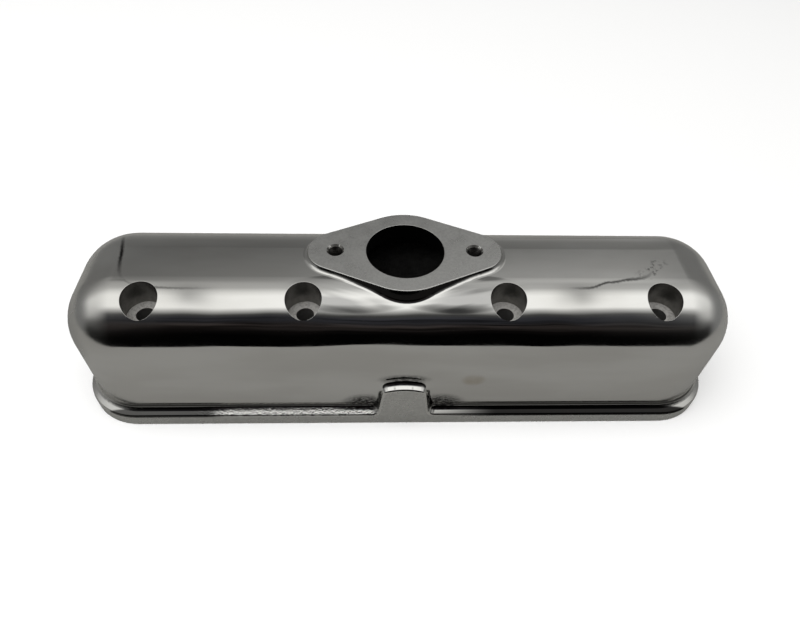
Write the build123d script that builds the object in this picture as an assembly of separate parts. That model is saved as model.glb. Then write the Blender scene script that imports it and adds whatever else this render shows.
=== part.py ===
"""Cast aluminium intake manifold: an open-bottomed plenum hood with a two-bolt carburettor flange.

Millimetres, +Z up, +X along the length, front towards -Y.
The origin is the middle of the machined base face.
"""

import os
from math import radians, tan

from build123d import *

# Hood: the plenum's outer form, with upright walls and ball-shaped upper corners
HOOD_LENGTH = 330.0
HOOD_DEPTH = 78.0
HOOD_HEIGHT = 76.0
SHOULDER_R = 29.0
SHELL_WALL = 4.5

# Base rim, whose top slopes down from the wall to the rim's edge
RIM_LEDGE = 3.0
RIM_FRONT_LEDGE = 4.4
RIM_CORNER_R = 30.0
RIM_EDGE_HEIGHT = 7.1
RIM_SLOPE = 29.5
RIM_COVE_R = 4.0

# Carburettor flange, level, with sides that slope most at the front and least at the back
FLANGE_RISE = 2.5
FLANGE_LOBE_R = 27.5
FLANGE_TIP_R = 13.3
FLANGE_REAR_INSET = 5.5
FLANGE_WALL_INSET = 2.8
FLANGE_DRAFT = 12.0
FLANGE_SWEEP = 6.0
FLANGE_FOOT_R = 2.5
FLANGE_ROOT = 24.0
STUD_SPACING = 68.3
BORE_R = 19.2
STUD_HOLE_R = 3.4
STUD_HOLE_DEPTH = 16.0
STUD_CHAMFER = 0.9
STUD_BOSS_R = 8.0
STUD_BOSS_FLOOR = 3.5

# Hold-down bolts: counterbored from the top, in columns that reach the base
BOLT_INNER_X = 48.0
BOLT_OUTER_X = 122.9
BOLT_Y = -21.8
BOLT_HOLE_R = 4.2
COUNTERBORE_R = 8.5
SEAT_HEIGHT = 62.3
COLUMN_WALL = 3.0
WEB_WIDTH = 14.0

# Arched locating lug in the middle of the front, coved like the rim and flush with its edge
LUG_FOOT_WIDTH = 28.0
LUG_SHOULDER_WIDTH = 21.5
LUG_SHOULDER_HEIGHT = 27.3
LUG_HEIGHT = 29.8
LUG_CORNER_R = 4.5
LUG_DRAFT = 20.0

# Worked out from the above
RIM_LENGTH = HOOD_LENGTH + 2 * RIM_LEDGE
RIM_DEPTH = HOOD_DEPTH + 2 * RIM_FRONT_LEDGE
COVE_REACH = 1.5 * RIM_COVE_R
FLANGE_CENTRE_Y = HOOD_DEPTH / 2 - FLANGE_REAR_INSET - FLANGE_LOBE_R
LUG_FRONT = RIM_DEPTH / 2 + COVE_REACH


def rounded_slab(length: float, depth: float, corner: float, height: float) -> Part:
    """A rounded rectangle standing on the base plane."""
    return extrude(RectangleRounded(length, depth, corner), height)


def hood(length: float, depth: float, height: float, ball_r: float) -> Part:
    """A block whose upper edges and corners are rolled by one ball, cut flat at the base."""
    core = Pos(0, 0, -ball_r) * Box(
        length - 2 * ball_r,
        depth - 2 * ball_r,
        height,
        align=(Align.CENTER, Align.CENTER, Align.MIN),
    )
    return split(offset(core, ball_r), Plane.XY, keep=Keep.TOP)


def blend(base: Part, added: Part, radius: float) -> Part:
    """Join two solids and round the corner where they meet."""
    joined = base + added
    return fillet(new_edges(base, added, combined=joined), radius)


def lug() -> Part:
    """The arched lug, widening backwards from in front of the rim's edge to the hood's middle."""
    shoulder = LUG_SHOULDER_WIDTH / 2, LUG_SHOULDER_HEIGHT
    foot = LUG_FOOT_WIDTH / 2, 0.0
    left_shoulder, left_foot = [(-x, z) for x, z in (shoulder, foot)]
    crown = ThreePointArc(left_shoulder, (0, LUG_HEIGHT), shoulder)
    sides = Polyline(shoulder, foot, left_foot, left_shoulder)
    arch = make_face(crown.edges() + sides.edges())
    arch = fillet(arch.vertices().sort_by(Axis.Y)[-2:], LUG_CORNER_R)
    arch = offset(arch, -COVE_REACH * tan(radians(LUG_DRAFT)))
    return extrude(Plane.XZ.offset(LUG_FRONT) * arch, -LUG_FRONT, taper=-LUG_DRAFT)


def rim_slab() -> Part:
    """The rim with its sloping top, a little wider than its finished outline."""
    outline = RectangleRounded(
        RIM_LENGTH + 2 * COVE_REACH, RIM_DEPTH + 2 * COVE_REACH, RIM_CORNER_R + COVE_REACH
    )
    slope = tan(radians(RIM_SLOPE))
    foot = RIM_EDGE_HEIGHT - COVE_REACH * slope
    rise = (COVE_REACH + RIM_FRONT_LEDGE + RIM_COVE_R) * slope
    top = extrude(Pos(0, 0, foot) * outline, rise, taper=90 - RIM_SLOPE)
    return extrude(outline, foot) + top


def coved_hood() -> Part:
    """The hood with its rim and lug coved into the walls, all cut off at the rim's outline."""
    ledge = blend(rim_slab(), lug(), RIM_COVE_R)
    body = blend(hood(HOOD_LENGTH, HOOD_DEPTH, HOOD_HEIGHT, SHOULDER_R), ledge, RIM_COVE_R)
    return body & rounded_slab(RIM_LENGTH, RIM_DEPTH, RIM_CORNER_R, HOOD_HEIGHT)


def flange_face() -> Plane:
    """The machined flange face, centred between the studs."""
    return Plane(origin=(0, FLANGE_CENTRE_Y, HOOD_HEIGHT + FLANGE_RISE))


def stud_places() -> list[Location]:
    """The two stud holes' places on the flange face."""
    return [Pos(side * STUD_SPACING / 2, 0) for side in (-1, 1)]


def flange_outline(depth: float) -> Face:
    """The two-bolt outline at a depth under the face: a lobe round the bore and a tip round each stud."""
    spread = depth * tan(radians(FLANGE_DRAFT))
    sweep = depth * tan(radians(FLANGE_SWEEP))
    circles = Circle(FLANGE_LOBE_R + spread).edges()
    for place in stud_places():
        circles += (place * Circle(FLANGE_TIP_R + spread)).edges()
    return flange_face() * Pos(0, -sweep, -depth) * make_hull(circles).face()


def flange_block() -> Part:
    """The drafted flange, sunk into the hood and kept inside its front and rear walls."""
    block = loft([flange_outline(0), flange_outline(FLANGE_ROOT)], ruled=True)
    return block & Box(HOOD_LENGTH, HOOD_DEPTH - 2 * FLANGE_WALL_INSET, HOOD_LENGTH)


def bolt_places() -> list[Location]:
    """The four hold-down bolts' places on the base plane."""
    return [Pos(x, BOLT_Y) for x in (-BOLT_OUTER_X, -BOLT_INNER_X, BOLT_INNER_X, BOLT_OUTER_X)]


def bolt_column(place: Location) -> Part:
    """A column round one bolt, webbed to the front wall."""
    column = extrude(place * Circle(COUNTERBORE_R + COLUMN_WALL), HOOD_HEIGHT)
    reach = HOOD_DEPTH / 2 + BOLT_Y
    web = place * Pos(0, -reach / 2) * Box(
        WEB_WIDTH, reach, HOOD_HEIGHT, align=(Align.CENTER, Align.CENTER, Align.MIN)
    )
    return column + web


def stud_boss(place: Location) -> Part:
    """The boss under the flange that gives one stud hole its depth."""
    return extrude(flange_face() * place * Circle(STUD_BOSS_R), -(STUD_HOLE_DEPTH + STUD_BOSS_FLOOR))


def plenum() -> Part:
    """The hollow inside, open at the base, less the columns and bosses that stand in it."""
    space = hood(
        HOOD_LENGTH - 2 * SHELL_WALL,
        HOOD_DEPTH - 2 * SHELL_WALL,
        HOOD_HEIGHT - SHELL_WALL,
        SHOULDER_R - SHELL_WALL,
    )
    for place in bolt_places():
        space -= bolt_column(place)
    for place in stud_places():
        space -= stud_boss(place)
    return space


def bolt_hole(place: Location) -> Part:
    """One hold-down bolt's hole with its counterbore."""
    hole = extrude(place * Circle(BOLT_HOLE_R), HOOD_HEIGHT)
    counterbore = extrude(place * Pos(0, 0, SEAT_HEIGHT) * Circle(COUNTERBORE_R), HOOD_HEIGHT)
    return hole + counterbore


def stud_hole(place: Location) -> Part:
    """One blind stud hole at tapping size, with its chamfer at the face."""
    face = flange_face() * place
    hole = extrude(face * Circle(STUD_HOLE_R), -STUD_HOLE_DEPTH)
    mouth = face * Pos(0, 0, -STUD_CHAMFER / 2) * Cone(
        STUD_HOLE_R, STUD_HOLE_R + STUD_CHAMFER, STUD_CHAMFER
    )
    return hole + mouth


def throat() -> Part:
    """The carburettor bore, from the flange face into the plenum."""
    return extrude(flange_face() * Circle(BORE_R), -FLANGE_ROOT)


def manifold() -> Part:
    """The whole casting, machined."""
    body = blend(coved_hood(), flange_block(), FLANGE_FOOT_R)
    body -= plenum()
    body -= throat()
    for place in bolt_places():
        body -= bolt_hole(place)
    for place in stud_places():
        body -= stud_hole(place)
    return body


if __name__ == "__main__":
    os.makedirs("parts", exist_ok=True)
    export_step(manifold(), "parts/manifold_casting.step")
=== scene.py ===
"""A polished cast intake manifold on a pale floor.

Metres, +Z up, +X along the casting, its front towards -Y, the origin in the middle of the base face.
The casting is a dressed copy of the CAD node, with eased edges and its own finish on each kind of
surface. The threads of the two stud holes are modelled here.
"""

import logging
from dataclasses import dataclass, field
from enum import IntEnum
from functools import partial, reduce
from math import cos, pi, radians, sin

import bmesh
import bpy
from mathutils import Matrix, Vector
from mathutils.bvhtree import BVHTree
from mathutils.interpolate import poly_3d_calc

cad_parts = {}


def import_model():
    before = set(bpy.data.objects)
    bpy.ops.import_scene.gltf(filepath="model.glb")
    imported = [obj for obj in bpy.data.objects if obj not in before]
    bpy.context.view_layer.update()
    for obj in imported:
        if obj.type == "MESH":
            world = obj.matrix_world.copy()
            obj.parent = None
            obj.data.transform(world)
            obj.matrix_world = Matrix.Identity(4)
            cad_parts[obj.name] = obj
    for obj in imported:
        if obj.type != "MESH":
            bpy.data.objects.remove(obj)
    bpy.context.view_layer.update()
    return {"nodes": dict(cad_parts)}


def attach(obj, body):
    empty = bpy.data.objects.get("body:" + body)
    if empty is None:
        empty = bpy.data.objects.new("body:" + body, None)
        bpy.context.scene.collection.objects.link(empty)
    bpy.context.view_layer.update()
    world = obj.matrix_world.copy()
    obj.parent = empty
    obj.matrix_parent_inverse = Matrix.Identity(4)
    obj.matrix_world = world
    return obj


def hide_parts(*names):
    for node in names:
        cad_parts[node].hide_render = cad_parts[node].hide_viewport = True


LOG = logging.getLogger("intake_manifold")

CASTING_NODE = "manifold_casting"
THREAD_NAMES = ("stud_thread_left", "stud_thread_right")
ROOT = "root"

MM = 0.001
BOLT_INNER_X = 48.0 * MM
BOLT_OUTER_X = 122.9 * MM
BOLT_Y = -21.8 * MM
NOISE_MIDDLE = 0.5

Colour = tuple[float, float, float]
Route = tuple[tuple[float, float], ...]
Piece = bpy.types.Object
Material = bpy.types.Material
Socket = bpy.types.NodeSocket
Reading = Socket | float


class Region(IntEnum):
    """The kinds of surface on the casting, in the order of its material slots."""

    POLISHED = 0
    LINISHED = 1
    SATIN = 2
    BORED = 3
    SPOT_FACED = 4
    THROAT = 5
    CAST = 6
    DRILLED = 7


@dataclass(frozen=True)
class Fade:
    """An eased change from one level to another, between two values of a measure."""

    low: float
    high: Reading
    start: float = 0.0
    end: float = 1.0


@dataclass(frozen=True)
class Span:
    """A stretch of a measure, by its middle and how far it reaches to each side."""

    middle: float
    half: float


@dataclass(frozen=True)
class Grain:
    """A smooth noise: its patches to the metre, along each axis or alike, its octaves and their weight."""

    scale: float | tuple[float, float, float]
    octaves: float
    weight: float


def route(*points: tuple[float, float]) -> Route:
    """Turn points in millimetres into a route in metres."""
    return tuple((along * MM, across * MM) for along, across in points)


def display_to_light(level: float) -> float:
    """Turn a display level of 0 to 255 into linear light."""
    share = level / 255.0
    return share / 12.92 if share <= 0.04045 else ((share + 0.055) / 1.055) ** 2.4


def settle(name: str, mesh: bmesh.types.BMesh) -> Piece:
    """Turn a bmesh into an object of the scene.

    Args:
        name: the name of the object and of its mesh.
        mesh: the bmesh, which is freed.

    Returns:
        The new object.
    """
    data = bpy.data.meshes.new(name)
    mesh.to_mesh(data)
    mesh.free()
    piece = bpy.data.objects.new(name, data)
    bpy.context.scene.collection.objects.link(piece)
    return piece


class NodeSketch:
    """A material under construction, with short calls to add and join its nodes."""

    def __init__(self, name: str) -> None:
        """Start an empty material.

        Args:
            name: the material's name.
        """
        self.material = bpy.data.materials.new(name)
        self.material.use_nodes = True
        self.tree = self.material.node_tree
        self.tree.nodes.clear()
        self.output = self.tree.nodes.new("ShaderNodeOutputMaterial")

    def add(self, kind: str, inputs: dict | None = None, **settings: object) -> bpy.types.Node:
        """Add one node.

        Args:
            kind: the node's type.
            inputs: a value or a socket for each input that is set, by name or index.
            **settings: the node's own attributes.

        Returns:
            The new node.
        """
        node = self.tree.nodes.new(kind)
        for key, value in settings.items():
            setattr(node, key, value)
        for key, value in (inputs or {}).items():
            if isinstance(value, Socket):
                self.tree.links.new(value, node.inputs[key])
            else:
                node.inputs[key].default_value = value
        return node

    def math(self, operation: str, *values: Reading) -> Socket:
        """Work out one number from others."""
        return self.add("ShaderNodeMath", dict(enumerate(values)), operation=operation).outputs[0]

    def times(self, *values: Reading) -> Socket:
        """Multiply readings."""
        return reduce(partial(self.math, "MULTIPLY"), values)

    def plus(self, *values: Reading) -> Socket:
        """Add readings up."""
        return reduce(partial(self.math, "ADD"), values)

    def most(self, *values: Reading) -> Socket:
        """Give the largest of some readings."""
        return reduce(partial(self.math, "MAXIMUM"), values)

    def least(self, *values: Reading) -> Socket:
        """Give the smallest of some readings."""
        return reduce(partial(self.math, "MINIMUM"), values)

    def minus(self, value: Reading, taken: Reading) -> Socket:
        """Take one reading from another."""
        return self.math("SUBTRACT", value, taken)

    def size(self, value: Reading) -> Socket:
        """Give a reading without its sign."""
        return self.math("ABSOLUTE", value)

    def fade(self, value: Socket, fade: Fade) -> Socket:
        """Read a fade, held at its ends, at a value."""
        inputs = {0: value, 1: fade.low, 2: fade.high, 3: fade.start, 4: fade.end}
        return self.add("ShaderNodeMapRange", inputs, interpolation_type="SMOOTHSTEP").outputs[0]

    def ridge(self, value: Socket, reach: Reading) -> Socket:
        """Give 1 where a value is 0, easing to 0 at a reach to each side of it."""
        return self.fade(self.size(value), Fade(0.0, reach, 1.0, 0.0))

    def hump(self, value: Socket, span: Span) -> Socket:
        """Give 1 in the middle of a span, easing to 0 at its ends."""
        return self.ridge(self.minus(value, span.middle), span.half)

    def patch(self, *sides: tuple[Socket, Span]) -> Socket:
        """Give 1 in the middle of an oval patch, easing to 0 at its border.

        Args:
            *sides: each measure with the patch's span along it.

        Returns:
            The patch's socket.
        """
        total = 0.0
        for value, span in sides:
            share = self.math("DIVIDE", self.minus(value, span.middle), span.half)
            total = self.math("MULTIPLY_ADD", share, share, total)
        return self.fade(total, Fade(0.0, 1.0, 1.0, 0.0))

    def place(self) -> Socket:
        """Give the point on the object, in metres."""
        return self.add("ShaderNodeTexCoord").outputs["Object"]

    def axes(self) -> list[Socket]:
        """Give the point's three distances from the origin, in metres."""
        return list(self.add("ShaderNodeSeparateXYZ", {0: self.place()}).outputs)

    def noise(self, grain: Grain, point: Socket | None = None) -> Socket:
        """Add a smooth noise.

        Args:
            grain: the noise's fineness.
            point: where it is read, in place of the point on the object.

        Returns:
            The noise's value socket.
        """
        point = self.place() if point is None else point
        scale = grain.scale
        if isinstance(scale, tuple):
            point = self.add("ShaderNodeMapping", {"Vector": point, "Scale": scale}).outputs[0]
            scale = 1.0
        inputs = {"Vector": point, "Scale": scale, "Detail": grain.octaves, "Roughness": grain.weight}
        return self.add("ShaderNodeTexNoise", inputs).outputs[0]

    def follow(self, value: Socket, points: Route) -> Socket:
        """Read a smooth curve through points.

        Args:
            value: the socket along the curve.
            points: the curve's points, in rising order along the value.

        Returns:
            The curve's height socket.
        """
        along, across = zip(*points)
        low, high = min(across), max(across)
        share = self.add("ShaderNodeMapRange", {0: value, 1: along[0], 2: along[-1]}).outputs[0]
        node = self.add("ShaderNodeFloatCurve", {"Value": share})
        curve = node.mapping.curves[0].points
        spots = [((at - along[0]) / (along[-1] - along[0]), (to - low) / (high - low)) for at, to in points]
        for spot in spots[1:-1]:
            curve.new(*spot)
        curve[0].location, curve[len(curve) - 1].location = spots[0], spots[-1]
        node.mapping.update()
        return self.math("MULTIPLY_ADD", node.outputs[0], high - low, low)

    def mix(self, share: Reading, base: Socket | Colour, over: Socket | Colour) -> Socket:
        """Mix one colour over another.

        Args:
            share: how much of the upper colour shows.
            base: the colour underneath.
            over: the upper colour.

        Returns:
            The mixed colour's socket.
        """
        base, over = [(*side, 1.0) if isinstance(side, tuple) else side for side in (base, over)]
        return self.add("ShaderNodeMix", {0: share, 6: base, 7: over}, data_type="RGBA").outputs[2]

    def bump(self, height: Socket, distance: float, under: Socket | None = None) -> Socket:
        """Turn a height into a bumped normal.

        Args:
            height: the height's socket.
            distance: how far one unit of height stands, in metres.
            under: a normal that this one is laid over.

        Returns:
            The bumped normal's socket.
        """
        inputs = {"Height": height, "Distance": distance, "Strength": 1.0}
        if under is not None:
            inputs["Normal"] = under
        return self.add("ShaderNodeBump", inputs).outputs[0]

    def finish(self, kind: str, inputs: dict) -> Material:
        """Join a surface shader to the output.

        Args:
            kind: the shader node's type.
            inputs: the shader's values and sockets.

        Returns:
            The finished material.
        """
        shader = self.add(kind, inputs)
        self.tree.links.new(shader.outputs[0], self.output.inputs["Surface"])
        return self.material

    def metal(self, colour: Socket, metallic: float, roughness: Reading, normal: Socket) -> Material:
        """Finish the material as a bare metal surface.

        Args:
            colour: the surface's colour.
            metallic: how much of it is clean metal.
            roughness: how far it scatters what it reflects.
            normal: its bumped normal.

        Returns:
            The finished material.
        """
        inputs = {"Base Color": colour, "Metallic": metallic, "Roughness": roughness, "Normal": normal}
        return self.finish("ShaderNodeBsdfPrincipled", inputs)


@dataclass(frozen=True)
class PaintedReflectionLines:
    """Painted dark reflections where the top turns down: two fine lines at the left end, a broader one at
    the right.
    """

    height: Fade = Fade(66 * MM, 69 * MM)
    wander: Grain = Grain(900.0, 3.0, 0.7)
    wander_reach: float = 1.4 * MM
    left_route: Route = route((-12.5, -130), (-8.7, -134), (-2, -135.9), (7.9, -137.5), (21.2, -141))
    left_width: float = 1.5 * MM
    left_run: Span = Span(6 * MM, 21 * MM)
    front_route: Route = route((-131, -12.5), (-125, -15.1), (-114.7, -16.6), (-82.8, -16.8))
    front_width: float = 1.0 * MM
    front_run: Span = Span(-115 * MM, 30 * MM)
    front_share: float = 0.55
    right_line_route: Route = route(
        (84.9, -16.3), (89.1, -15.8), (92.2, -14.6), (95.6, -13.2), (100.6, -12.6), (105.6, -11.4),
        (113, -10.4), (116.5, -9.2), (120.5, -5.7), (122.7, -2.1), (125.8, 2),
    )
    right_line_width: Fade = Fade(90 * MM, 122 * MM, 1.1 * MM, 1.8 * MM)
    right_line_run: Span = Span(100 * MM, 24 * MM)
    right_line_share: float = 0.85
    blur_x: Span = Span(120 * MM, 13 * MM)
    blur_y: Span = Span(-3 * MM, 11 * MM)
    blur_across: Span = Span(0.0, 7.5 * MM)
    breakup: Grain = Grain(430.0, 4.0, 0.75)
    breakup_share: Fade = Fade(0.48, 0.64, 0.0, 0.75)

    def share(self, sketch: NodeSketch) -> Socket:
        """Draw the lines.

        Args:
            sketch: the polished material.

        Returns:
            How much of the painted reflection's dark colour shows.
        """
        x, y, z = sketch.axes()
        speckle = sketch.noise(self.wander)
        wander = sketch.times(sketch.minus(speckle, NOISE_MIDDLE), self.wander_reach)
        from_left = sketch.minus(sketch.plus(x, wander), sketch.follow(y, self.left_route))
        from_front = sketch.minus(sketch.plus(y, wander), sketch.follow(x, self.front_route))
        from_right_line = sketch.minus(sketch.plus(y, wander), sketch.follow(x, self.right_line_route))
        left = sketch.times(sketch.ridge(from_left, self.left_width), sketch.hump(y, self.left_run))
        front = sketch.times(sketch.ridge(from_front, self.front_width), sketch.hump(x, self.front_run))
        right_line = sketch.ridge(from_right_line, sketch.fade(x, self.right_line_width))
        right_line = sketch.times(right_line, sketch.patch((x, self.right_line_run)), self.right_line_share)
        blurred_reflection = sketch.patch((x, self.blur_x), (y, self.blur_y), (from_right_line, self.blur_across))
        blurred_reflection = sketch.times(blurred_reflection, sketch.fade(sketch.noise(self.breakup), self.breakup_share))
        lines = sketch.most(left, sketch.times(front, self.front_share), right_line, blurred_reflection)
        return sketch.times(lines, sketch.fade(z, self.height))


@dataclass(frozen=True)
class Ledge:
    """The sloping top of the front rim."""

    height: Fade = Fade(10 * MM, 11.8 * MM, 1.0, 0.0)
    depth: Fade = Fade(-40.2 * MM, -39.2 * MM, 1.0, 0.0)

    def share(self, sketch: NodeSketch) -> Socket:
        """Give 1 on the ledge and 0 elsewhere."""
        _, y, z = sketch.axes()
        return sketch.times(sketch.fade(z, self.height), sketch.fade(y, self.depth))


@dataclass(frozen=True)
class PaintedShade:
    """Painted shade and dark reflections by the lug, in the rim's cove, on its ledge and under the flange.
    """

    inside_edge: Fade = Fade(-41.5 * MM, -40.5 * MM)
    front_only: Fade = Fade(-36 * MM, -34 * MM, 1.0, 0.0)
    grain: Grain = Grain((500.0, 900.0, 900.0), 3.0, 0.7)
    grain_share: Fade = Fade(0.30, 0.60, 0.4, 1.0)
    corner_x: Span = Span(19.5 * MM, 15.5 * MM)
    corner_z: Span = Span(10.5 * MM, 11.5 * MM)
    corner_gain: float = 1.1
    crown_x: Span = Span(0.0, 15 * MM)
    crown_z: Span = Span(33 * MM, 4.8 * MM)
    crown_share: float = 0.8
    cove_z: Span = Span(10.9 * MM, 1.7 * MM)
    cove_depth: Fade = Fade(-24 * MM, 0.0, 0.97, 0.0)
    cove_left_end: Fade = Fade(-154 * MM, -143 * MM, 0.35, 1.0)
    ledge: Ledge = Ledge()
    ledge_left: Fade = Fade(-102 * MM, -90 * MM, 0.85, 0.0)
    ledge_right: Fade = Fade(12 * MM, 50 * MM, 0.0, 0.97)
    recess_facing: Fade = Fade(0.34, 0.46, 1.0, 0.0)
    recess_height: Fade = Fade(60 * MM, 62 * MM)
    recess_depth: Fade = Fade(-4 * MM, 4 * MM, 0.99, 0.0)

    def share(self, sketch: NodeSketch) -> Socket:
        """Paint shade into those places.

        Args:
            sketch: the polished material.

        Returns:
            How much of the painted shade shows.
        """
        x, y, z = sketch.axes()
        inside = sketch.fade(y, self.inside_edge)
        front = sketch.times(inside, sketch.fade(y, self.front_only))
        corner = sketch.patch((sketch.size(x), self.corner_x), (z, self.corner_z))
        corner = sketch.least(sketch.times(corner, self.corner_gain), 1.0)
        crown = sketch.times(sketch.patch((x, self.crown_x), (z, self.crown_z)), self.crown_share)
        grain = sketch.fade(sketch.noise(self.grain), self.grain_share)
        lug = sketch.times(sketch.most(corner, crown), grain, front)
        cove = sketch.times(sketch.hump(z, self.cove_z), inside, sketch.fade(y, self.cove_depth))
        cove = sketch.times(cove, sketch.fade(x, self.cove_left_end))
        ends = sketch.most(sketch.fade(x, self.ledge_right), sketch.fade(x, self.ledge_left))
        ledge = sketch.times(self.ledge.share(sketch), ends)
        # painted dark reflection on the steep sides under the flange
        normal = sketch.add("ShaderNodeNewGeometry").outputs["Normal"]
        upward = sketch.add("ShaderNodeSeparateXYZ", {0: normal}).outputs[2]
        steep = sketch.fade(upward, self.recess_facing)
        recess = sketch.times(steep, sketch.fade(z, self.recess_height), sketch.fade(y, self.recess_depth))
        return sketch.most(lug, cove, recess, ledge)


@dataclass(frozen=True)
class Streaks:
    """The long streaks that run beside the flange's edges, alike at the left and the right."""

    turn: float = radians(13.0)
    along_scale: float = 15.0
    across_scale: float = 130.0
    side_scale: float = 9.0
    grain: Grain = Grain(1.0, 1.5, 0.5)

    def noise(self, sketch: NodeSketch) -> Socket:
        """Draw the streaks.

        Args:
            sketch: the polished material.

        Returns:
            The streaks' noise.
        """
        x, y, _ = sketch.axes()
        aside = sketch.size(x)
        run, rise = cos(self.turn), sin(self.turn)
        along = sketch.math("MULTIPLY_ADD", aside, run, sketch.times(y, rise))
        across = sketch.math("MULTIPLY_ADD", y, run, sketch.times(aside, -rise))
        spot = {
            0: sketch.times(along, self.along_scale),
            1: sketch.times(across, self.across_scale),
            2: sketch.times(x, self.side_scale),
        }
        return sketch.noise(self.grain, sketch.add("ShaderNodeCombineXYZ", spot).outputs[0])


@dataclass(frozen=True)
class Smears:
    """Where the polish is dull: in long smears beside the flange's foot and at the two ends."""

    streaks: Streaks = Streaks()
    streak_share: Fade = Fade(0.46, 0.58)
    foot_x: Span = Span(30 * MM, 27 * MM)
    foot_y: Span = Span(-22.5 * MM, 8.5 * MM)
    left_x: Span = Span(-168 * MM, 24 * MM)
    left_y: Span = Span(-18 * MM, 36 * MM)
    left_z: Span = Span(51 * MM, 20 * MM)
    right_x: Span = Span(168 * MM, 14 * MM)
    right_y: Span = Span(-18 * MM, 30 * MM)
    right_z: Span = Span(53 * MM, 12 * MM)
    right_share: float = 0.6

    def share(self, sketch: NodeSketch) -> Socket:
        """Spread the smears.

        Args:
            sketch: the polished material.

        Returns:
            How dull the polish is.
        """
        x, y, z = sketch.axes()
        foot = sketch.patch((sketch.size(x), self.foot_x), (y, self.foot_y))
        foot = sketch.times(foot, sketch.fade(self.streaks.noise(sketch), self.streak_share))
        left = sketch.patch((x, self.left_x), (z, self.left_z), (y, self.left_y))
        right = sketch.patch((x, self.right_x), (z, self.right_z), (y, self.right_y))
        return sketch.most(foot, left, sketch.times(right, self.right_share))


@dataclass(frozen=True)
class Relief:
    """What isn't even in the polish: soft ripples, the streaks, the wheel's lines and the ledge's grit."""

    ripples: Grain = Grain((21.0, 34.0, 34.0), 1.5, 0.4)
    ripple_height: float = 1.4 * MM
    ripple_z: Span = Span(66 * MM, 11 * MM)
    streaks: Streaks = Streaks()
    streak_height: float = 0.7 * MM
    streak_x: Span = Span(24 * MM, 36 * MM)
    streak_y: Span = Span(-18 * MM, 10 * MM)
    lines: Grain = Grain((25.0, 1400.0, 1400.0), 3.0, 0.6)
    line_height: float = 0.0006 * MM
    ledge: Ledge = Ledge()
    grit: Grain = Grain(1000.0, 2.0, 0.6)
    grit_height: float = 0.4 * MM
    grit_x: Span = Span(-52 * MM, 62 * MM)

    def normal(self, sketch: NodeSketch) -> Socket:
        """Lay the unevenness together.

        Args:
            sketch: the polished material.

        Returns:
            The bumped normal's socket.
        """
        x, y, z = sketch.axes()
        ripples = sketch.minus(sketch.noise(self.ripples), NOISE_MIDDLE)
        normal = sketch.bump(sketch.times(ripples, sketch.hump(z, self.ripple_z)), self.ripple_height)
        near = sketch.patch((sketch.size(x), self.streak_x), (y, self.streak_y))
        streaks = sketch.times(self.streaks.noise(sketch), near)
        normal = sketch.bump(streaks, self.streak_height, normal)
        normal = sketch.bump(sketch.noise(self.lines), self.line_height, normal)
        ledge = sketch.times(self.ledge.share(sketch), sketch.patch((x, self.grit_x)))
        return sketch.bump(sketch.times(sketch.noise(self.grit), ledge), self.grit_height, normal)


@dataclass(frozen=True)
class PolishedFinish:
    """Hand-polished aluminium: clear reflections over gentle ripples, the marks left in it, and painted
    shade and reflections.
    """

    name: str = "hand_polished_aluminium"
    colour: Colour = (0.80, 0.80, 0.78)
    brushed: Grain = Grain((14.0, 90.0, 160.0), 4.0, 0.6)
    brushed_share: Fade = Fade(0.2, 0.8, 0.0, 0.14)
    brushed_colour: Colour = (0.62, 0.60, 0.57)
    veil: Grain = Grain((11.0, 30.0, 42.0), 3.0, 0.55)
    veil_share: Fade = Fade(0.36, 0.66, 0.0, 0.45)
    veil_colour: Colour = (0.60, 0.59, 0.56)
    worn_share: float = 0.8
    worn_colour: Colour = (0.36, 0.36, 0.355)
    stain_x: Span = Span(34.5 * MM, 7 * MM)
    stain_y: Span = Span(-39 * MM, 10 * MM)
    stain_z: Span = Span(32.5 * MM, 5.5 * MM)
    stain_share: Fade = Fade(0.35, 0.65, 0.15, 0.55)
    stain_colour: Colour = (0.46, 0.38, 0.26)
    # near-black, for the painted reflection lines and the painted shade
    painted_dark_colour: Colour = (0.014, 0.013, 0.013)
    cloud: Grain = Grain(38.0, 4.0, 0.6)
    roughness: Fade = Fade(0.35, 0.75, 0.05, 0.12)
    end_roughness: Fade = Fade(118 * MM, 162 * MM, 0.0, 0.20)
    reflection_lines: PaintedReflectionLines = PaintedReflectionLines()
    painted_shade: PaintedShade = PaintedShade()
    smears: Smears = Smears()
    relief: Relief = Relief()

    def material(self) -> Material:
        """Build the finish.

        Returns:
            The finished material.
        """
        sketch = NodeSketch(self.name)
        x, y, z = sketch.axes()
        cloud = sketch.noise(self.cloud)
        stain = sketch.patch((x, self.stain_x), (y, self.stain_y), (z, self.stain_z))
        colour = self.colour
        for share, over in (
            (sketch.fade(sketch.noise(self.brushed), self.brushed_share), self.brushed_colour),
            (sketch.fade(sketch.noise(self.veil), self.veil_share), self.veil_colour),
            (sketch.times(self.smears.share(sketch), self.worn_share), self.worn_colour),
            (sketch.times(stain, sketch.fade(cloud, self.stain_share)), self.stain_colour),
            # painted dark reflections on the top, then painted shade by the lug, in the cove and under the
            # flange
            (self.reflection_lines.share(sketch), self.painted_dark_colour),
            (self.painted_shade.share(sketch), self.painted_dark_colour),
        ):
            colour = sketch.mix(share, colour, over)
        softer = sketch.fade(sketch.size(x), self.end_roughness)
        roughness = sketch.plus(sketch.fade(cloud, self.roughness), softer)
        return sketch.metal(colour, 1.0, roughness, self.relief.normal(sketch))


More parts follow.
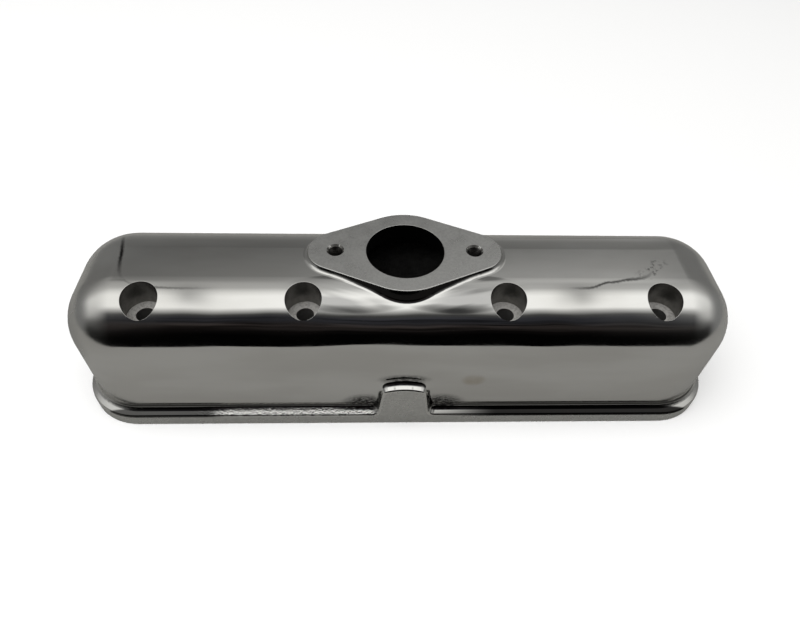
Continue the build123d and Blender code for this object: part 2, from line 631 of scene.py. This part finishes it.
@dataclass(frozen=True)
class BrushedFinish:
    """Aluminium rubbed flat on a belt: a soft grey sheen with fine straight lines."""

    name: str
    colour: Colour
    roughness: Fade
    lines: Grain
    line_height: float = 0.004 * MM
    grain: Grain = Grain(700.0, 3.0, 0.7)
    grain_share: Fade = Fade(0.40, 0.60, 0.0, 0.35)
    dull: float = 0.72
    cloud: Grain = Grain(120.0, 4.0, 0.6)

    def material(self) -> Material:
        """Build the finish.

        Returns:
            The finished material.
        """
        sketch = NodeSketch(self.name)
        grain = sketch.fade(sketch.noise(self.grain), self.grain_share)
        colour = sketch.mix(grain, self.colour, tuple(level * self.dull for level in self.colour))
        roughness = sketch.fade(sketch.noise(self.cloud), self.roughness)
        return sketch.metal(colour, 1.0, roughness, sketch.bump(sketch.noise(self.lines), self.line_height))


@dataclass(frozen=True)
class TurnedFinish:
    """Bores and holes cut with a turning tool, with its rings left in the metal."""

    name: str
    colour: Colour
    roughness: float
    metallic: float = 1.0
    feed: float = 1900.0
    round_scale: float = 30.0
    ring_octaves: float = 3.0
    ring_weight: float = 0.6
    ring_height: float = 0.012 * MM
    cloud: Grain = Grain(420.0, 3.0, 0.6)
    cloud_share: Fade = Fade(0.35, 0.70, 0.0, 0.45)
    dull: float = 0.6

    def material(self) -> Material:
        """Build the finish.

        Returns:
            The finished material.
        """
        sketch = NodeSketch(self.name)
        scale = (self.round_scale, self.round_scale, self.feed)
        rings = sketch.noise(Grain(scale, self.ring_octaves, self.ring_weight))
        worn = sketch.fade(sketch.noise(self.cloud), self.cloud_share)
        colour = sketch.mix(worn, self.colour, tuple(level * self.dull for level in self.colour))
        return sketch.metal(colour, self.metallic, self.roughness, sketch.bump(rings, self.ring_height))


@dataclass(frozen=True)
class SpotFacedFinish:
    """The flat seats under the bolt heads: pale, rough, and ringed round each bolt."""

    name: str = "spot_faced_aluminium"
    colour: Colour = (0.42, 0.41, 0.39)
    dull_colour: Colour = (0.17, 0.165, 0.155)
    grain: Grain = Grain(1100.0, 2.0, 0.6)
    grain_share: Fade = Fade(0.4, 0.7, 0.0, 0.6)
    metallic: float = 0.45
    roughness: float = 0.50
    rings: Grain = Grain(1700.0, 2.0, 0.6)
    ring_drift: float = 0.08
    ring_height: float = 0.06 * MM

    def material(self) -> Material:
        """Build the finish.

        Returns:
            The finished material.
        """
        sketch = NodeSketch(self.name)
        x, y, _ = sketch.axes()
        aside = sketch.size(x)
        along = sketch.least(*(sketch.size(sketch.minus(aside, at)) for at in (BOLT_INNER_X, BOLT_OUTER_X)))
        across = sketch.minus(y, BOLT_Y)
        square = sketch.math("MULTIPLY_ADD", along, along, sketch.times(across, across))
        spot = {0: sketch.math("SQRT", square), 1: sketch.times(along, self.ring_drift)}
        rings = sketch.noise(self.rings, sketch.add("ShaderNodeCombineXYZ", spot).outputs[0])
        grain = sketch.fade(sketch.noise(self.grain), self.grain_share)
        colour = sketch.mix(grain, self.colour, self.dull_colour)
        return sketch.metal(colour, self.metallic, self.roughness, sketch.bump(rings, self.ring_height))


@dataclass(frozen=True)
class CastFinish:
    """The as-cast skin inside the plenum: dull, grainy and uneven."""

    name: str = "as_cast_aluminium"
    dark: Colour = (0.05, 0.049, 0.047)
    light: Colour = (0.13, 0.128, 0.124)
    cloud: Grain = Grain(60.0, 3.0, 0.6)
    cloud_share: Fade = Fade(0.3, 0.7)
    metallic: float = 0.75
    roughness: float = 0.62
    grain: Grain = Grain(900.0, 4.0, 0.6)
    grain_height: float = 0.12 * MM

    def material(self) -> Material:
        """Build the finish.

        Returns:
            The finished material.
        """
        sketch = NodeSketch(self.name)
        colour = sketch.mix(sketch.fade(sketch.noise(self.cloud), self.cloud_share), self.dark, self.light)
        normal = sketch.bump(sketch.noise(self.grain), self.grain_height)
        return sketch.metal(colour, self.metallic, self.roughness, normal)


@dataclass
class Casting:
    """The dressed casting: the CAD form with eased edges, true normals and a finish on each surface."""

    name: str = "polished_casting"
    length: float = 330 * MM
    depth: float = 78 * MM
    height: float = 76 * MM
    shoulder: float = 29 * MM
    wall: float = 4.5 * MM
    rim_top: float = 7.1 * MM
    rim_reach: float = 2.5 * MM
    rim_low: float = 4 * MM
    lug_high: float = 32 * MM
    lug_face: float = 43.4 * MM
    flange_middle: Vector = field(default_factory=lambda: Vector((0.0, 6 * MM, 78.5 * MM)))
    bore: float = 19.2 * MM
    stud_spacing: float = 68.3 * MM
    stud_mouth: float = 4.3 * MM
    bolt_x: tuple[float, ...] = (-BOLT_OUTER_X, -BOLT_INNER_X, BOLT_INNER_X, BOLT_OUTER_X)
    bolt_hole: float = 4.2 * MM
    counterbore: float = 8.5 * MM
    seat: float = 62.3 * MM
    weld: float = 0.001 * MM
    flatness: float = radians(0.02)
    crispness: float = radians(25.0)
    rim_ease: float = 0.9 * MM
    flange_ease: float = 0.35 * MM
    mouth_ease: float = 0.2 * MM
    ease_steps: int = 3
    slack: float = 0.02 * MM
    margin: float = 1.0 * MM
    level: float = 0.99
    upright: float = 0.1
    leaning: float = 0.2
    hood_match: float = 0.94
    cad_match: float = 0.9

    def stud_middles(self) -> list[Vector]:
        """The two stud holes' middles on the flange face."""
        return [self.flange_middle + Vector((side * self.stud_spacing / 2, 0.0, 0.0)) for side in (-1, 1)]

    def off_hood(self, point: Vector) -> tuple[float, Vector]:
        """Measure a point against the ball-cornered hood.

        Args:
            point: a point in metres.

        Returns:
            How far the point stands outside the hood's surface, and the surface's direction there.
        """
        half_x, half_y = self.length / 2 - self.shoulder, self.depth / 2 - self.shoulder
        core = Vector(
            (
                max(-half_x, min(half_x, point.x)),
                max(-half_y, min(half_y, point.y)),
                min(point.z, self.height - self.shoulder),
            )
        )
        away = point - core
        reach = away.length
        return reach - self.shoulder, away / reach if reach > 1e-9 else Vector((0.0, 0.0, 1.0))

    def off_axis(self, point: Vector, middle: Vector) -> float:
        """How far a point is from the upright line through a place on the flange face."""
        return (point - middle).xy.length

    def off_bore(self, point: Vector) -> float:
        """How far a point is from the bore's axis."""
        return self.off_axis(point, self.flange_middle)

    def off_stud(self, point: Vector) -> float:
        """How far a point is from the nearest stud hole's axis."""
        return min(self.off_axis(point, stud) for stud in self.stud_middles())

    def off_bolt(self, point: Vector) -> float:
        """How far a point is from the nearest hold-down bolt's axis."""
        return min(Vector((point.x - x, point.y - BOLT_Y)).length for x in self.bolt_x)

    def above_flange(self, point: Vector) -> float:
        """How far a point stands above the flange face."""
        return point.z - self.flange_middle.z

    def region(self, face: bmesh.types.BMFace) -> Region:
        """Tell which kind of surface a face belongs to.

        Args:
            face: a face of the casting.

        Returns:
            The face's region.
        """
        middle, outward = face.calc_center_median(), face.normal
        standing, _ = self.off_hood(middle)
        bolt = self.off_bolt(middle)
        if self.above_flange(middle) > -self.flange_ease and outward.z > self.leaning:
            return Region.LINISHED
        if middle.z < self.slack and outward.z < -self.level:
            return Region.SATIN
        if bolt < self.bolt_hole + self.slack:
            return Region.DRILLED
        if bolt < self.counterbore + self.slack and middle.z > self.seat - self.slack:
            return Region.SPOT_FACED if outward.z > self.level else Region.BORED
        if self.off_bore(middle) < self.bore + self.slack and abs(outward.z) < self.upright:
            return Region.THROAT
        if self.off_stud(middle) < self.stud_mouth:
            return Region.BORED
        if standing < self.slack - self.wall:
            return Region.CAST
        if standing > self.margin and middle.z < self.rim_top and abs(outward.z) < self.upright:
            return Region.SATIN
        if middle.y < self.slack - self.lug_face and outward.y < -self.level:
            return Region.SATIN
        return Region.POLISHED

    def ease(self, mesh: bmesh.types.BMesh, edges: list[bmesh.types.BMEdge], radius: float) -> None:
        """Round some edges over.

        Args:
            mesh: the casting.
            edges: the edges to round.
            radius: how far back the rounding starts.
        """
        bmesh.ops.bevel(
            mesh,
            geom=edges,
            offset=radius,
            offset_type="OFFSET",
            affect="EDGES",
            segments=self.ease_steps,
            profile=0.5,
            material=-1,
            clamp_overlap=False,
        )

    def crisp(self, mesh: bmesh.types.BMesh) -> list[bmesh.types.BMEdge]:
        """Find the casting's sharp outward edges."""
        edges = [edge for edge in mesh.edges if edge.is_manifold and edge.is_convex]
        return [edge for edge in edges if edge.calc_face_angle() > self.crispness]

    def on_rim(self, vert: bmesh.types.BMVert) -> bool:
        """Tell whether a point lies on the outer top edge of the rim or the lug."""
        return self.rim_low < vert.co.z < self.lug_high and self.off_hood(vert.co)[0] > self.rim_reach

    def on_flange(self, vert: bmesh.types.BMVert) -> bool:
        """Tell whether a point lies on the outline of the flange face."""
        clear = self.off_bore(vert.co) - self.bore, self.off_stud(vert.co) - self.stud_mouth
        return abs(self.above_flange(vert.co)) < self.slack and min(clear) > self.margin

    def on_mouth(self, vert: bmesh.types.BMVert) -> bool:
        """Tell whether a point lies on the mouth of a counterbore or of the bore."""
        if abs(self.off_bolt(vert.co) - self.counterbore) < self.slack:
            return vert.co.z > self.seat + self.margin
        return max(abs(self.off_bore(vert.co) - self.bore), abs(self.above_flange(vert.co))) < self.slack

    def build(self, cad: Piece) -> Piece:
        """Make the dressed copy of the CAD node.

        Args:
            cad: the CAD node's object, which is left as it is.

        Returns:
            The casting, with its regions on its material slots.
        """
        mesh = bmesh.new()
        mesh.from_mesh(cad.data)
        bmesh.ops.remove_doubles(mesh, verts=mesh.verts, dist=self.weld)
        bmesh.ops.dissolve_limit(mesh, angle_limit=self.flatness, verts=mesh.verts, edges=mesh.edges)
        for chosen, radius in (
            (self.on_rim, self.rim_ease),
            (self.on_flange, self.flange_ease),
            (self.on_mouth, self.mouth_ease),
        ):
            edges = [edge for edge in self.crisp(mesh) if all(chosen(vert) for vert in edge.verts)]
            self.ease(mesh, edges, radius)
        for face in mesh.faces:
            face.smooth = True
            face.material_index = self.region(face)
        casting = settle(self.name, mesh)
        self.true_normals(casting.data, cad.data)
        return casting

    def true_normals(self, data: bpy.types.Mesh, source: bpy.types.Mesh) -> None:
        """Give each corner of the casting the direction of the real curved surface.

        Args:
            data: the dressed mesh.
            source: the CAD node's mesh, which carries its surfaces' own directions.
        """
        places = [vert.co.copy() for vert in source.vertices]
        corners = [list(face.vertices) for face in source.polygons]
        facing = [corner.vector.copy() for corner in source.corner_normals]
        tree = BVHTree.FromPolygons(places, corners)
        normals = [Vector()] * len(data.loops)
        for face in data.polygons:
            for loop in face.loop_indices:
                vertex = data.loops[loop].vertex_index
                point = data.vertices[vertex].co
                standing, outward = self.off_hood(point)
                if abs(standing) < self.slack and outward.dot(face.normal) > self.hood_match:
                    normals[loop] = outward
                    continue
                best, agree = None, self.cad_match
                for near, direction, index, _ in tree.find_nearest_range(point, self.slack):
                    if direction.dot(face.normal) > agree:
                        best, agree = (near, index), direction.dot(face.normal)
                if best is None:
                    normals[loop] = data.vertex_normals[vertex].vector
                    continue
                near, index = best
                weights = poly_3d_calc([places[corner] for corner in corners[index]], near)
                blend = Vector()
                for corner, weight in zip(source.polygons[index].loop_indices, weights):
                    blend += facing[corner] * weight
                normals[loop] = blend.normalized()
        data.normals_split_custom_set(normals)

    def dress(self, casting: Piece) -> None:
        """Put the finishes on the casting, fasten it to the root and hide the CAD node.

        Args:
            casting: the dressed copy of the CAD node.
        """
        for finish in (
            PolishedFinish(),
            BrushedFinish(
                "linished_flange_face",
                colour=(0.79, 0.79, 0.77),
                roughness=Fade(0.3, 0.7, 0.26, 0.36),
                lines=Grain((24.0, 240.0, 24.0), 4.0, 0.7),
            ),
            BrushedFinish(
                "satin_rim_edge",
                colour=(0.70, 0.70, 0.68),
                roughness=Fade(0.3, 0.7, 0.24, 0.38),
                lines=Grain((30.0, 30.0, 1200.0), 4.0, 0.7),
            ),
            TurnedFinish("bored_aluminium", colour=(0.22, 0.215, 0.205), roughness=0.36),
            SpotFacedFinish(),
            # the throat's near-black colour is painted shade for the dark inside of the bore
            TurnedFinish("shade_darkened_throat", colour=(0.03, 0.03, 0.03), roughness=0.5, feed=900.0),
            CastFinish(),
            TurnedFinish("drilled_aluminium", colour=(0.075, 0.073, 0.07), roughness=0.5, metallic=0.3),
        ):
            casting.data.materials.append(finish.material())
        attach(casting, ROOT)
        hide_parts(CASTING_NODE)


@dataclass
class StudThread:
    """The coarse thread in one stud hole: a helical ridge, its foot just inside the wall."""

    name: str
    middle: Vector
    pitch: float = 1.25 * MM
    foot: float = 3.46 * MM
    crest: float = 3.08 * MM
    flank: float = 0.46
    start: float = 1.1 * MM
    turns: int = 10
    steps_per_turn: int = 32

    def build(self) -> Piece:
        """Make the ridge.

        Returns:
            The thread, in its hole.
        """
        mesh = bmesh.new()
        half = self.pitch * self.flank
        profile = (self.foot, 0.0, -half), (self.crest, 0.0, 0.0), (self.foot, 0.0, half)
        face = mesh.faces.new([mesh.verts.new(place) for place in profile])
        bmesh.ops.spin(
            mesh,
            geom=[face, *face.edges, *face.verts],
            cent=(0.0, 0.0, 0.0),
            axis=(0.0, 0.0, 1.0),
            dvec=(0.0, 0.0, -self.pitch / self.steps_per_turn),
            angle=2 * pi * self.turns,
            steps=self.turns * self.steps_per_turn,
            use_merge=False,
        )
        bmesh.ops.recalc_face_normals(mesh, faces=mesh.faces)
        bmesh.ops.translate(mesh, vec=self.middle - Vector((0.0, 0.0, self.start + half)), verts=mesh.verts)
        return settle(self.name, mesh)

    def dress(self, thread: Piece, finish: Material) -> None:
        """Give the thread its finish and fasten it to the casting.

        Args:
            thread: the ridge.
            finish: the cut metal's material.
        """
        thread.data.materials.append(finish)
        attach(thread, ROOT)


@dataclass(frozen=True)
class Card:
    """One edge of a card in the studio's surround.

    The angle starts at the front horizon, is 90 overhead and 180 at the back horizon, and is
    below the horizon where it is negative. The level, of 0 to 255, is how bright the card looks in
    the metal.
    """

    angle: float
    level: float
    tone: Colour = (1.0, 0.995, 0.975)


@dataclass
class Surround:
    """A glowing ball round the part, like cards: a black one ahead, a soft box overhead, grey behind."""

    name: str = "studio_surround"
    radius: float = 3.0
    facets: int = 4
    metal: float = 0.80
    middle: tuple[Card, ...] = (
        Card(-180, 116), Card(-100, 138), Card(-30, 116),
        Card(-22, 12), Card(-4, 2), Card(14, 2),
        Card(24, 14, (1.0, 0.86, 0.84)), Card(33, 38, (1.0, 0.84, 0.80)),
        Card(41, 28, (0.92, 0.94, 1.10)), Card(49, 45, (0.94, 0.95, 1.12)), Card(54, 66),
        Card(61, 176), Card(67, 243), Card(90, 244), Card(98, 222), Card(107, 172),
        Card(126, 150), Card(132, 140), Card(134, 132), Card(136, 108),
        Card(138, 92), Card(140, 90), Card(163, 98), Card(180, 116),
    )
    ends: tuple[Card, ...] = (
        Card(-180, 100), Card(-110, 142), Card(-60, 138), Card(-38, 112),
        Card(-24, 30), Card(-8, 14), Card(6, 20), Card(22, 40), Card(40, 92),
        Card(55, 172), Card(75, 200), Card(94, 208), Card(108, 164),
        Card(122, 126), Card(140, 106), Card(160, 100), Card(180, 98),
    )
    ends_share: Fade = Fade(0.34, 0.86)
    side_share: Fade = Fade(0.86, 0.99)
    side_level: float = 106.0
    seams: tuple[Span, ...] = (Span(-0.32, 0.06), Span(0.345, 0.05))
    seam_turn: Span = Span(radians(92.0), radians(36.0))
    seam_depth: float = 0.5
    rise_turn: Fade = Fade(radians(116.0), radians(126.0))
    rise_aside: Fade = Fade(0.41, 0.53, 0.95, 0.0)
    fall_turn: Fade = Fade(radians(134.0), radians(142.0), 1.0, 0.0)
    clutter: Grain = Grain((3.5, 16.0, 16.0), 2.0, 0.5)
    clutter_share: Fade = Fade(0.34, 0.66, -0.65, 0.9)
    clutter_turn: Span = Span(radians(34.0), radians(20.0))
    clutter_aside: Span = Span(0.0, 0.62)

    def ramp(self, sketch: NodeSketch, turn: Socket, cards: tuple[Card, ...]) -> Socket:
        """Lay cards out along a colour ramp.

        Args:
            sketch: the surround's material.
            turn: the angle from the front horizon, in radians.
            cards: the cards, from the back horizon under the part and round to it again.

        Returns:
            The ramp's colour socket.
        """
        share = sketch.math("MULTIPLY_ADD", turn, 1.0 / (2.0 * pi), 0.5)
        node = sketch.add("ShaderNodeValToRGB", {0: share})
        stops = node.color_ramp.elements
        while len(stops) < len(cards):
            stops.new(0.5)
        for stop, card in zip(stops, cards):
            stop.position = (card.angle + 180.0) / 360.0
            light = display_to_light(card.level) / self.metal
            stop.color = (*(light * share for share in card.tone), 1.0)
        return node.outputs[0]

    def material(self) -> Material:
        """Build the cards' glow.

        Returns:
            The finished material.
        """
        sketch = NodeSketch("studio_cards")
        unit = sketch.add("ShaderNodeVectorMath", {0: sketch.place()}, operation="NORMALIZE").outputs[0]
        sideways, back, up = sketch.add("ShaderNodeSeparateXYZ", {0: unit}).outputs
        turn = sketch.math("ARCTAN2", up, sketch.times(back, -1.0))
        aside = sketch.size(sideways)
        middle, ends = self.ramp(sketch, turn, self.middle), self.ramp(sketch, turn, self.ends)
        even = display_to_light(self.side_level) / self.metal
        colour = sketch.mix(sketch.fade(aside, self.ends_share), middle, ends)
        colour = sketch.mix(sketch.fade(aside, self.side_share), colour, (even, even, even))
        seams = sketch.most(*(sketch.hump(sideways, seam) for seam in self.seams))
        seams = sketch.times(seams, sketch.hump(turn, self.seam_turn))
        strength = sketch.math("MULTIPLY_ADD", seams, -self.seam_depth, 1.0)
        left = sketch.times(sketch.least(sideways, 0.0), sketch.fade(turn, self.fall_turn))
        slope = sketch.plus(sketch.most(sideways, 0.0), left)
        behind = sketch.times(slope, sketch.fade(turn, self.rise_turn), sketch.fade(aside, self.rise_aside))
        clutter = sketch.fade(sketch.noise(self.clutter, unit), self.clutter_share)
        ahead = sketch.patch((turn, self.clutter_turn), (sideways, self.clutter_aside))
        for more in (behind, sketch.times(clutter, ahead)):
            strength = sketch.math("MULTIPLY_ADD", more, strength, strength)
        return sketch.finish("ShaderNodeEmission", {"Color": colour, "Strength": strength})

    def build(self) -> Piece:
        """Make the surround.

        Returns:
            The surround, which is hidden from the camera.
        """
        mesh = bmesh.new()
        bmesh.ops.create_icosphere(mesh, subdivisions=self.facets, radius=self.radius)
        bmesh.ops.reverse_faces(mesh, faces=mesh.faces)
        surround = settle(self.name, mesh)
        surround.data.materials.append(self.material())
        surround.visible_camera = False
        return surround


@dataclass(frozen=True)
class Sheet:
    """A flat sheet lying on the studio's floor."""

    name: str
    low: tuple[float, float]
    high: tuple[float, float]
    height: float
    colour: Colour

    def build(self) -> Piece:
        """Make the sheet.

        Returns:
            The sheet.
        """
        mesh = bmesh.new()
        bmesh.ops.create_grid(mesh, x_segments=1, y_segments=1, size=0.5)
        size = Vector((self.high[0] - self.low[0], self.high[1] - self.low[1], 1.0))
        middle = Vector(((self.high[0] + self.low[0]) / 2, (self.high[1] + self.low[1]) / 2, self.height))
        bmesh.ops.scale(mesh, vec=size, verts=mesh.verts)
        bmesh.ops.translate(mesh, vec=middle, verts=mesh.verts)
        sheet = settle(self.name, mesh)
        finish = NodeSketch(self.name).finish("ShaderNodeBsdfDiffuse", {"Color": (*self.colour, 1.0)})
        sheet.data.materials.append(finish)
        return sheet


@dataclass
class Studio:
    """The pale floor, the soft light, the cards that the metal mirrors, and the camera."""

    pale: Sheet = Sheet("pale_floor", (-4.0, -4.0), (4.0, 4.0), 0.0, (0.86, 0.86, 0.86))
    grey: Sheet = Sheet("grey_floor_sheet", (-0.9, -0.37), (0.9, 0.9), -0.4 * MM, (0.232, 0.229, 0.22))
    # a black card under the part: painted shade for the plenum's inside
    black: Sheet = Sheet(
        "shade_card_under_part", (-0.140, -0.030), (0.140, 0.030), 0.3 * MM, (0.004, 0.004, 0.004)
    )
    lamp_place: tuple[float, float, float] = (-0.5, -0.6, 2.4)
    lamp_size: float = 3.2
    lamp_power: float = 72.0
    room_colour: Colour = (0.95, 0.95, 0.94)
    camera_place: Vector = field(default_factory=lambda: Vector((-14.812, -211.329, 275.872)) * MM)
    look_down: float = 0.85276
    yaw: float = -0.06377
    roll: float = -0.04882
    lens: float = 26.833
    sensor: float = 36.0
    nearest: float = 0.01

    def build(self) -> None:
        """Set up the floor, the light and the camera."""
        self.floor()
        Surround().build()
        self.lamp()
        self.world()
        self.camera()
        bpy.context.scene.view_settings.view_transform = "Standard"

    def floor(self) -> None:
        """Lay the pale floor, the grey sheet that the metal sees, and the black card under the part as
        painted shade.
        """
        pale = self.pale.build()
        pale.visible_glossy = False
        pale.visible_diffuse = False
        pale.visible_shadow = False
        grey = self.grey.build()
        grey.visible_camera = False
        self.black.build()

    def lamp(self) -> None:
        """Hang one large soft lamp for the floor."""
        data = bpy.data.lights.new("soft_lamp", "AREA")
        data.shape = "DISK"
        data.size = self.lamp_size
        data.energy = self.lamp_power
        lamp = bpy.data.objects.new("soft_lamp", data)
        lamp.location = self.lamp_place
        lamp.rotation_euler = (-lamp.location).to_track_quat("-Z", "Y").to_euler()
        bpy.context.scene.collection.objects.link(lamp)
        lamp.visible_glossy = False

    def world(self) -> None:
        """Fill the room with an even pale background."""
        world = bpy.data.worlds.new("pale_room")
        world.use_nodes = True
        background = world.node_tree.nodes["Background"]
        background.inputs["Color"].default_value = (*self.room_colour, 1.0)
        background.inputs["Strength"].default_value = 1.0
        bpy.context.scene.world = world

    def camera(self) -> None:
        """Place the camera as the photograph's stood."""
        forward = Vector(
            (
                -sin(self.yaw) * cos(self.look_down),
                cos(self.yaw) * cos(self.look_down),
                -sin(self.look_down),
            )
        )
        level = Vector((cos(self.yaw), sin(self.yaw), 0.0))
        down = forward.cross(level)
        right = level * cos(self.roll) + down * sin(self.roll)
        up = level * sin(self.roll) - down * cos(self.roll)
        data = bpy.data.cameras.new("photograph_camera")
        data.lens = self.lens
        data.sensor_width = self.sensor
        data.sensor_fit = "HORIZONTAL"
        data.clip_start = self.nearest
        camera = bpy.data.objects.new("photograph_camera", data)
        turn = Matrix((right, up, -forward)).transposed().to_4x4()
        camera.matrix_world = Matrix.Translation(self.camera_place) @ turn
        bpy.context.scene.collection.objects.link(camera)
        bpy.context.scene.camera = camera


def report(piece: Piece) -> None:
    """Log one finished piece and its number of faces."""
    LOG.info("%s: %d faces", piece.name, len(piece.data.polygons))


def main() -> None:
    """Build the dressed manifold and its studio."""
    logging.basicConfig(level=logging.INFO, format="%(name)s: %(message)s")
    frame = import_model()
    casting = Casting()
    piece = casting.build(frame["nodes"][CASTING_NODE])
    casting.dress(piece)
    report(piece)
    thread_finish = TurnedFinish("tapped_thread", colour=(0.16, 0.155, 0.15), roughness=0.28).material()
    for name, middle in zip(THREAD_NAMES, casting.stud_middles()):
        thread = StudThread(name, middle)
        ridge = thread.build()
        thread.dress(ridge, thread_finish)
        report(ridge)
    Studio().build()


if __name__ == "__main__":
    main()
